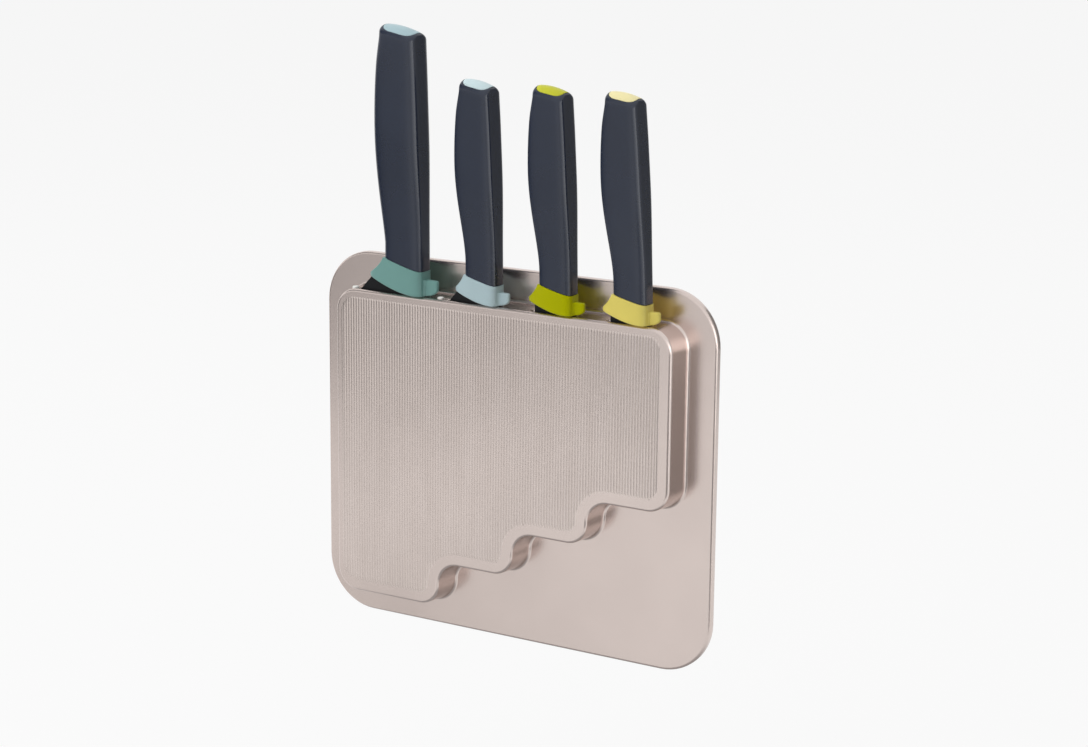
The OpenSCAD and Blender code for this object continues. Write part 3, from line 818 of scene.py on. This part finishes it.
def back_x(k, h):
    """The handle's back, straight up to the neck and then curving forward."""
    return -BACK_DROP * (max(0.0, h - k.neck_at) / (k.top_h - k.neck_at)) ** 1.4


def half_t(k, h):
    """Half of the handle's thickness."""
    return mix(k.neck_t, k.belly_t, smooth((h - k.neck_at) / (0.6 * k.top_h - k.neck_at))) / 2


def signed_pow(v, e):
    return math.copysign(abs(v) ** e, v)


def section(cx, a, b, power):
    """Points of a superellipse, gathered at its corners."""
    angles = [2 * math.pi * (i + 0.5) / RING_N for i in range(RING_N)]
    return [(cx + a * signed_pow(math.cos(t), 2 / power),
             b * signed_pow(math.sin(t), 2 / power)) for t in angles]


def falloff(t, power):
    """From 1 at t = 0 down to 0 at t = 1, along a superellipse."""
    return max(0.0, 1 - min(t, 1.0) ** power) ** (1 / power)


def fullness(k, h):
    """How square the section is: 2 is an ellipse."""
    return mix(k.neck_full, k.belly_full, smooth((h - k.neck_at) / (0.45 * k.top_h)))


def handle_sizes(k, h):
    """Middle, half width and half thickness of the ring at height h."""
    back = back_x(k, h)
    front = front_x(k, h - END_SLOPE * front_x(k, h))
    return (back + front) / 2, (back - front) / 2, half_t(k, h)


def rest_top(k, x):
    """Height of the joint between handle and tool rest: sloping, a little hollow."""
    t = min(max(-x / k.neck_w, 0.0), 1.2)
    return k.rest_h + END_SLOPE * k.neck_w * t ** 1.12


def end_height(k, x, y):
    """Height of the domed end of the handle at a point of its plan."""
    c, a, b = handle_sizes(k, k.top_h - END_RIM)
    u, v = (x - c) / a, y / b
    rho = (abs(u) ** k.belly_full + abs(v) ** k.belly_full) ** (1 / k.belly_full)
    over = min(max((rho - RIM_FROM) / (1 - RIM_FROM), 0.0), 1.0)
    rim = END_RIM * (1 - math.sqrt(1 - over * over))
    return (k.top_h - END_SLOPE * c - END_TILT * (x - c) - END_DOME * u * u
            - END_CROWN * abs(v) ** 2.1 - rim)


def end_point(k, x, y, up=0.0):
    return (x, y, end_height(k, x, y) + up)


def cap_outline(k, grow):
    """Middle and outline of the end cap in plan."""
    c, a, b = handle_sizes(k, k.top_h - END_RIM)
    return c, section(c, a * 0.885 + grow, b * 0.86 + grow, CAP_FULL)


def make_handle(k):
    """The grip, from the joint with the tool rest to the rim round the end cap."""
    rings = []
    low, high = k.rest_h, k.top_h - END_RIM
    for inset, lift in ((0.75, 0.0), (0.3, 0.03), (0.0, 0.35)):
        c, a, b = handle_sizes(k, low)
        rings.append([(x, y, rest_top(k, x) + lift)
                      for x, y in section(c, a - inset, b - inset, k.neck_full)])
    for i in range(1, HANDLE_N + 1):
        t = i / HANDLE_N
        h = mix(low, high, t)
        c, a, b = handle_sizes(k, h)
        from_joint, to_end = smooth(t * 6), smooth((t - 0.8) / 0.2)
        rings.append([])
        for x, y in section(c, a, b, fullness(k, h)):
            z = mix(rest_top(k, x) + (h - low), h - END_SLOPE * x, from_joint)
            rings[-1].append((x, y, mix(z, end_height(k, x, y) - high + h, to_end)))
    # Round the end's edge, then in to the cap
    for angle in (65, 45, 28, 14):
        rho = RIM_FROM + (1 - RIM_FROM) * math.sin(math.radians(angle))
        rings.append([end_point(k, x, y) for x, y in
                      section(c, a * rho, b * rho, k.belly_full)])
    start = rings[-1]
    _, rim = cap_outline(k, CAP_GAP)
    for s in (0.5, 1.0):
        rings.append([end_point(k, mix(p[0], q[0], s), mix(p[1], q[1], s))
                      for p, q in zip(start, rim)])
    rings.append([(x, y, z - CAP_WELL) for x, y, z in rings[-1]])
    add_lofted(k.name + "_grip", rings, k.name + "_knife", [k.name + "_handle"], GRIP,
               40, k.place())


def make_cap(k):
    c, rim = cap_outline(k, 0.0)
    levels = [(1.0, -1.2), (1.0, -0.12), (0.985, -0.01), (0.95, 0.04)]
    levels += [(s, 0.05) for s in (0.88, 0.78, 0.66, 0.52, 0.38, 0.24, 0.1)]
    rings = [[end_point(k, c + (x - c) * s, y * s, up) for x, y in rim] for s, up in levels]
    add_lofted(k.name + "_cap", rings, k.name + "_knife",
               [k.name + "_end_cap"], CAP_MAT[k.name], 50, k.place())


def under_line(k):
    """Underside of the tool rest, from the guard's tip to the foot."""
    left = bezier_line([(k.guard_x + 0.8, k.guard_h - 1.8), (k.guard_x * 0.66, 0.5 * k.guard_h),
                        (k.guard_x * 0.36, 0), (-0.1 * k.neck_w, 0)], 24)
    right = bezier_line([(-0.1 * k.neck_w, 0), (0.5 * k.foot, 0), (k.foot, 0.1 * k.rest_h),
                         (k.foot, 0.36 * k.rest_h)], 16)
    return [(k.guard_x, k.guard_h - 1.0)] + left + right[1:]


def guard_line(k):
    """Upper edge of the finger guard, from its tip to the handle."""
    top, g = rest_top(k, -k.neck_w), k.guard
    fall = top - k.guard_h
    line = bezier_line([(-k.neck_w, top), (-k.neck_w - 0.14 * g, top - 0.34 * fall),
                        (-k.neck_w - 0.46 * g, top - 0.66 * fall),
                        (k.guard_x + 0.9, k.guard_h + 0.55)], 16)
    return [(k.guard_x, k.guard_h - 0.6), (k.guard_x + 0.3, k.guard_h + 0.15)] + line[::-1]


def ledge_line(k):
    """Top of the foot behind the handle, with its rounded outer corner."""
    h, f = k.rest_h, k.foot
    return [(-k.neck_w, 0.675 * h), (0, 0.675 * h), (f - 1.4, 0.662 * h), (f - 0.7, 0.64 * h),
            (f - 0.25, 0.6 * h), (f - 0.05, 0.56 * h), (f, 0.5 * h)]


def rest_ring(k, x, has_body):
    """One closed section of the tool rest across the knife at x."""
    mid = -k.neck_w / 2
    b = k.neck_t / 2 + REST_PROUD
    a = k.neck_w / 2 + REST_PROUD
    low, ledge = line_at(under_line(k), x), line_at(ledge_line(k), x)
    if x < mid:
        body = half = max(b * falloff((mid - x) / (mid - k.guard_x), 2.2), THINNEST)
        high = line_at(guard_line(k), x) if x < -k.neck_w else rest_top(k, x)
        ledge = mix(low, high, 0.55)
    else:
        tail = TAIL_WIDE * falloff((x - mid) / (k.foot - mid), TAIL_FULL)
        body = b * falloff((x - mid) / a, k.neck_full)
        high = rest_top(k, x) if has_body else ledge
        half = max(b * tail, body, THINNEST)
    step = half - body if has_body else 0.0
    r_low = min(0.9, 0.42 * (ledge - low), 0.9 * half)
    r_edge = min(0.5, 0.25 * (ledge - low))
    r_top = min(0.38, 0.3 * max(high - ledge, 0.1), 0.6 * body)
    turn = quarter(4)
    pts = [(half - r_low * (1 - math.sin(t)), low + r_low * (1 - math.cos(t))) for t in turn]
    if has_body:
        lift = min(0.5, 0.3 * (high - ledge))
        pts += [(half - step / 2 * (1 - math.cos(t)), ledge - r_edge * (1 - math.sin(t)))
                for t in turn]
        pts += [(body + step / 2 * (1 - math.sin(t)), ledge + lift * (1 - math.cos(t)))
                for t in turn[1:]]
        pts += [(body - r_top * (1 - math.cos(t)), high - r_top * (1 - math.sin(t)))
                for t in turn]
        pts.append((0.5 * (body - r_top), high))
    else:
        edge = min(0.5, 0.6 * half)
        pts += [(half - edge * (1 - math.cos(t)), ledge - r_edge * (1 - math.sin(t)))
                for t in turn]
        more = 2 * len(turn)        # as many points as a ring with a body has
        pts += [((half - edge) * (1 - i / (more + 1)), ledge) for i in range(1, more + 1)]
    full = pts + [(-y, z) for y, z in reversed(pts)]
    return [(x, y, z) for y, z in full]


def make_rest(k):
    mid, a = -k.neck_w / 2, k.neck_w / 2 + REST_PROUD
    body_end = mid + a * falloff(FLAT_SIDE, k.neck_full)
    front = [k.guard_x + 0.02 + (-k.neck_w - k.guard_x) * (i / 18) ** 1.7 for i in range(18)]
    front += [mix(-k.neck_w, mid, i / 10) for i in range(11)]
    back = [mid + a * falloff(mix(FLAT_SIDE, 1, math.cos(t)), k.neck_full)
            for t in quarter(22)[1:-1]] + [body_end]
    tail = [body_end + (k.foot - 0.01 - body_end) * (1 - (1 - i / 16) ** 1.9) for i in range(17)]
    rings = [rest_ring(k, x, True) for x in front + back]
    rings += [rest_ring(k, x, False) for x in tail]
    add_lofted(k.name + "_rest", rings, k.name + "_knife",
               [k.name + "_tool_rest"], REST_MAT[k.name], 38, k.place())


def make_blade(k):
    """The whole blade, from inside the tool rest to its tip, with flats and a bevel."""
    back, length, thick = -BACK_INSET, k.length, k.thick
    edge = back - k.width
    ground = mix(edge, 0, GRIND)
    tip = (back - k.tip_off, -length)
    shoulder_x = max(edge + 0.5, k.guard_x + 1.5)
    shoulder_h = line_at(under_line(k), shoulder_x) + 1.0
    edge_line = [(shoulder_x, shoulder_h),
                 (mix(shoulder_x, edge, 0.5), mix(shoulder_h, -k.heel, 0.5))]
    edge_line += bezier_line([(edge, -k.heel), (edge, -0.5 * length),
                              (back - k.width * k.fill, -0.86 * length), tip], 40)
    back_line = [(back, 0.3 * k.rest_h), (back, -k.heel)]
    back_line += bezier_line([(back, -k.bend * length), (back, -0.8 * length),
                              (back - k.tip_off * 0.35, -0.93 * length), tip], 24)
    edge_by_z = sorted((z, x) for x, z in edge_line)
    back_by_z = sorted((z, x) for x, z in back_line) + [(shoulder_h, shoulder_x + 0.3)]
    zs = [mix(shoulder_h - 0.05, 0.3 * k.rest_h, i / 10) for i in range(10)]
    zs += [mix(0.3 * k.rest_h, -length + 0.15, i / 90) for i in range(91)]

    def thick_at(behind):
        """Thickness at a distance behind the edge."""
        return min(thick, mix(FINE_T, thick, max(0.0, behind / max(ground - edge, 1.0))))

    rings = []
    for z in zs:
        xe, xb = line_at(edge_by_z, z), line_at(back_by_z, z)
        xe = min(xe, xb - 0.3)
        span = xb - xe
        x1 = xe + min(BEVEL_W, 0.3 * span)
        x2 = max(min(ground, xb - 0.25 * span), xe + 0.5 * span)
        t0 = (CUT_T if z < -k.heel else thick_at(0)) / 2
        t1, t2, t3 = (thick_at(x - xe) / 2 for x in (x1, x2, xb))
        r = min(0.25, t3 * 0.6)
        side = [(xe, t0), (x1, t1), (x2, t2), (xb - r, t3), (xb, t3 - r)]
        rings.append([(x, -y, z) for x, y in side] + [(x, y, z) for x, y in reversed(side)])
    verts, faces = loft(rings)
    n = len(rings[0])
    bevels = (0, n - 2, n - 1)          # faces at and beside the cutting edge
    mats = [int(len(f) == 4 and f[0] % n in bevels and zs[f[0] // n] < -k.heel - 0.5)
            for f in faces]
    name = k.name + "_blade_body"
    mesh = to_mesh(name, verts, faces, k.place(), mats)
    obj = new_object(name, mesh, k.name + "_knife", [k.name + "_blade"], BLADE)
    mesh.materials.append(EDGE)
    finish_shading(obj, 12, weighted=False)


make_plate()
make_case()
make_beading()
make_slot_liners()
make_strips()
for knife in KNIVES:
    make_handle(knife)
    make_cap(knife)
    make_rest(knife)
    make_blade(knife)

# The hidden pieces keep their CAD meshes
for name, material in (("blade_guide", WHITE), ("case_screws", SCREW),
                       *((k.name + "_weight", SCREW) for k in KNIVES)):
    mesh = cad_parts[name].data
    mesh.materials.clear()
    mesh.materials.append(material)


# ------------------------------------------------------------------ studio
FLOOR_HALF = 9.0
FLOOR_DROP = 0.12                   # below the plate
FLOOR_WHITE = (0.975, 0.975, 0.975)
FLOOR_GLOW = 0.93                   # share of the floor that glows; the rest takes shadows
WORLD_SOFT = 0.24                   # strength of the world's light
WORLD_WHITE = (0.955, 0.955, 0.955)


def seen_rays(tree):
    """Two masks: camera, glossy and transmission rays, and the last two alone."""
    path = tree.nodes.new("ShaderNodeLightPath").outputs
    reflected = math_node(tree, "MAXIMUM", path["Is Glossy Ray"], path["Is Transmission Ray"])
    return math_node(tree, "MAXIMUM", path["Is Camera Ray"], reflected), reflected


def sheet(name, corners):
    """A flat rectangle of the studio, in metres."""
    mesh = bpy.data.meshes.new(name)
    mesh.from_pydata(corners, [], [(0, 1, 2, 3)])
    obj = bpy.data.objects.new(name, mesh)
    bpy.context.scene.collection.objects.link(obj)
    return obj


def add_floor():
    s, z = FLOOR_HALF, plate_lo.z * MM - FLOOR_DROP
    obj = sheet("floor", [(-s, -s, z), (s, -s, z), (s, s, z), (-s, s, z)])
    n = Nodes("floor")
    tree = n.tree
    tree.nodes.remove(n.shader)
    seen, reflected = seen_rays(tree)

    def patch(x, y, stops):
        """A soft round patch of painted shade on the floor, which only shows in reflections."""
        flat = n.add("ShaderNodeMapping")
        flat.inputs["Location"].default_value = (-x, -y, 0)
        flat.inputs["Scale"].default_value = (1, 1, 0)
        n.link(n.coord, flat.inputs["Vector"])
        reach = n.add("ShaderNodeVectorMath", operation="LENGTH")
        n.link(flat.outputs["Vector"], reach.inputs[0])
        return n.ramp(reach.outputs["Value"], stops)

    # painted shadow under the object, and painted shade at its front left, both only in
    # reflections of the floor
    under_shadow = patch(0, 0, [(0.16, (0.4, 0.4, 0.4)), (0.27, (1, 1, 1))])
    beside = patch(-0.33, -0.27, [(0.05, (0.66, 0.65, 0.64)), (0.22, FLOOR_WHITE)])
    near_shade = n.add("ShaderNodeMix", data_type="RGBA", blend_type="MULTIPLY")
    near_shade.inputs[0].default_value = 1.0
    n.link(under_shadow, near_shade.inputs[6])
    n.link(beside, near_shade.inputs[7])
    tone = n.add("ShaderNodeMix", data_type="RGBA")
    n.link(reflected, tone.inputs[0])
    tone.inputs[6].default_value = (*FLOOR_WHITE, 1)
    n.link(near_shade.outputs[2], tone.inputs[7])
    diffuse = n.add("ShaderNodeBsdfDiffuse")
    diffuse.inputs["Color"].default_value = (0.8, 0.8, 0.8, 1)
    glow = n.add("ShaderNodeEmission")
    n.link(tone.outputs[2], glow.inputs["Color"])
    blend = n.add("ShaderNodeMixShader")
    n.link(math_node(tree, "MULTIPLY", seen, FLOOR_GLOW), blend.inputs[0])
    n.link(diffuse.outputs[0], blend.inputs[1])
    n.link(glow.outputs[0], blend.inputs[2])
    n.link(blend.outputs[0], tree.nodes["Material Output"].inputs["Surface"])
    obj.data.materials.append(n.mat)


def add_world():
    world = bpy.data.worlds.new("studio")
    bpy.context.scene.world = world
    world.use_nodes = True
    tree = world.node_tree
    tree.nodes.clear()
    out = tree.nodes.new("ShaderNodeOutputWorld")
    soft = tree.nodes.new("ShaderNodeBackground")
    soft.inputs["Color"].default_value = (1, 1, 1, 1)
    soft.inputs["Strength"].default_value = WORLD_SOFT
    shown = tree.nodes.new("ShaderNodeBackground")
    shown.inputs["Color"].default_value = (*WORLD_WHITE, 1)
    blend = tree.nodes.new("ShaderNodeMixShader")
    tree.links.new(seen_rays(tree)[0], blend.inputs[0])
    tree.links.new(soft.outputs[0], blend.inputs[1])
    tree.links.new(shown.outputs[0], blend.inputs[2])
    tree.links.new(blend.outputs[0], out.inputs["Surface"])


def around(azimuth, distance, height):
    """A place round the object; azimuth 0 is in front, 90 at its right."""
    a = math.radians(azimuth)
    return (distance * math.sin(a), -distance * math.cos(a), height)


def add_card(name, place, width, height, left, right, start=0.0, end=1.0):
    """A card off camera, graded from its left to its right, that only shows in reflections."""
    w, h = width / 2, height / 2
    obj = sheet(name, [(-w, 0, -h), (w, 0, -h), (w, 0, h), (-w, 0, h)])
    obj.location = Vector(place)
    obj.rotation_euler = (0, 0, math.atan2(place[0], -place[1]))
    for ray in ("camera", "diffuse", "shadow", "transmission"):
        setattr(obj, "visible_" + ray, False)
    n = Nodes(name)
    split = n.add("ShaderNodeSeparateXYZ")
    n.link(n.coord, split.inputs[0])
    across = n.add("ShaderNodeMapRange")
    across.inputs["From Min"].default_value = -w
    across.inputs["From Max"].default_value = w
    n.link(split.outputs["X"], across.inputs["Value"])
    glow = n.add("ShaderNodeEmission")
    grade = n.ramp(across.outputs["Result"], [(start, (left,) * 3), (end, (right,) * 3)])
    n.link(grade, glow.inputs["Color"])
    n.link(glow.outputs[0], n.tree.nodes["Material Output"].inputs["Surface"])
    n.tree.nodes.remove(n.shader)
    obj.data.materials.append(n.mat)


def add_area(name, place, aim, size, power, size_y=None):
    data = bpy.data.lights.new(name, "AREA")
    data.energy = power
    data.shape = "RECTANGLE" if size_y else "SQUARE"
    data.size = size
    if size_y:
        data.size_y = size_y
    obj = bpy.data.objects.new(name, data)
    bpy.context.scene.collection.objects.link(obj)
    obj.visible_glossy = False      # the cards alone show in reflections
    obj.location = Vector(place)
    direction = Vector(aim) - Vector(place)
    obj.rotation_mode = "QUATERNION"
    obj.rotation_quaternion = direction.to_track_quat("-Z", "Y")


def add_camera():
    az, el, roll = (math.radians(a) for a in FRONT_VIEW)
    back = Vector((math.sin(az) * math.cos(el), -math.cos(az) * math.cos(el), math.sin(el)))
    right = Vector((0, 0, 1)).cross(back).normalized()
    up = back.cross(right)
    x_axis = math.cos(roll) * right + math.sin(roll) * up
    y_axis = -math.sin(roll) * right + math.cos(roll) * up
    matrix = Matrix((x_axis, y_axis, back)).transposed().to_4x4()
    matrix.translation = (Vector(VIEW_TARGET) + back * VIEW_DISTANCE) * MM
    data = bpy.data.cameras.new("camera")
    data.lens = LENS
    data.sensor_width = 36.0
    data.clip_start, data.clip_end = 0.05, 60.0
    obj = bpy.data.objects.new("camera", data)
    bpy.context.scene.collection.objects.link(obj)
    obj.matrix_world = matrix
    bpy.context.scene.camera = obj


add_floor()
add_world()
add_area("key", (-1.2, -1.6, 1.5), aim=(0, 0, 0.05), size=3.8, power=45)
add_area("top", (-0.4, -0.1, 1.9), aim=(0, 0, 0.0), size=3.2, power=30, size_y=2.8)
# Bright and dark reflections in the satin metal, and on the handles and tool rests
add_card("card_glow", around(45, 1.3, 0.2), 2.03, 0.84, left=0.7, right=3.1)
add_card("card_front", around(35, 0.45, -0.097), 0.48, 0.261, left=0.32, right=0.32)
add_card("card_right", around(122, 1.2, 0.35), 2.2, 1.2, left=1.05, right=0.19, end=0.8)
add_card("card_left", around(-50, 1.1, -0.045), 1.43, 0.38, left=0.0, right=0.85, start=0.2)
add_card("card_high", around(-50, 1.1, 1.2), 1.43, 1.4, left=0.1, right=0.95, start=0.2)
add_camera()
bpy.context.scene.view_settings.view_transform = "Standard"
